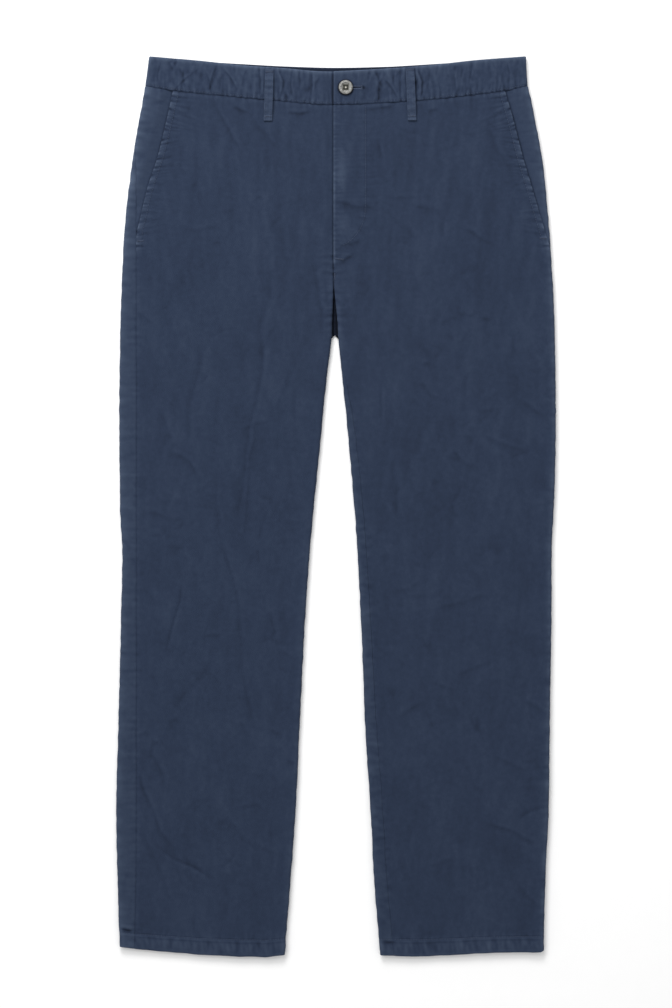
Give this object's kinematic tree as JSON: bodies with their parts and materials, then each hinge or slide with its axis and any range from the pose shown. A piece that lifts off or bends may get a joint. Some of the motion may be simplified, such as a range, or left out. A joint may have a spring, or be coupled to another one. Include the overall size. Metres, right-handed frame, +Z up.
{
  "type": "chino trousers",
  "caption": "Chino trousers laid flat with the front up: straight legs, slanted pockets, lapped fly, button waistband and belt loops.",
  "frame": {"origin": "centre of the bounding box in X and Y, on the surface that the trousers lie on", "axes": "+X towards the wearer's left, +Y from the hems to the waist, +Z up, out of the front"},
  "size_m": [0.5223, 1.07, 0.0101],
  "materials": {
    "front_twill": "washed navy cotton twill",
    "back_twill": "washed navy cotton twill",
    "facing_twill": "washed navy cotton twill",
    "waistband_twill": "puckered washed navy cotton twill",
    "belt_loop_twill": "folded and stitched navy cotton twill",
    "button_horn": "satin mottled horn"
  },
  "bodies": {
    "root": {"right_front_panel": "front_twill", "left_front_panel": "front_twill", "right_back_panel": "back_twill", "left_back_panel": "back_twill", "right_pocket_facing": "facing_twill", "left_pocket_facing": "facing_twill", "right_front_waistband": "waistband_twill", "left_front_waistband": "waistband_twill", "back_waistband": "waistband_twill", "right_front_belt_loop": "belt_loop_twill", "left_front_belt_loop": "belt_loop_twill", "waist_button": "button_horn"}
  },
  "joints": []
}
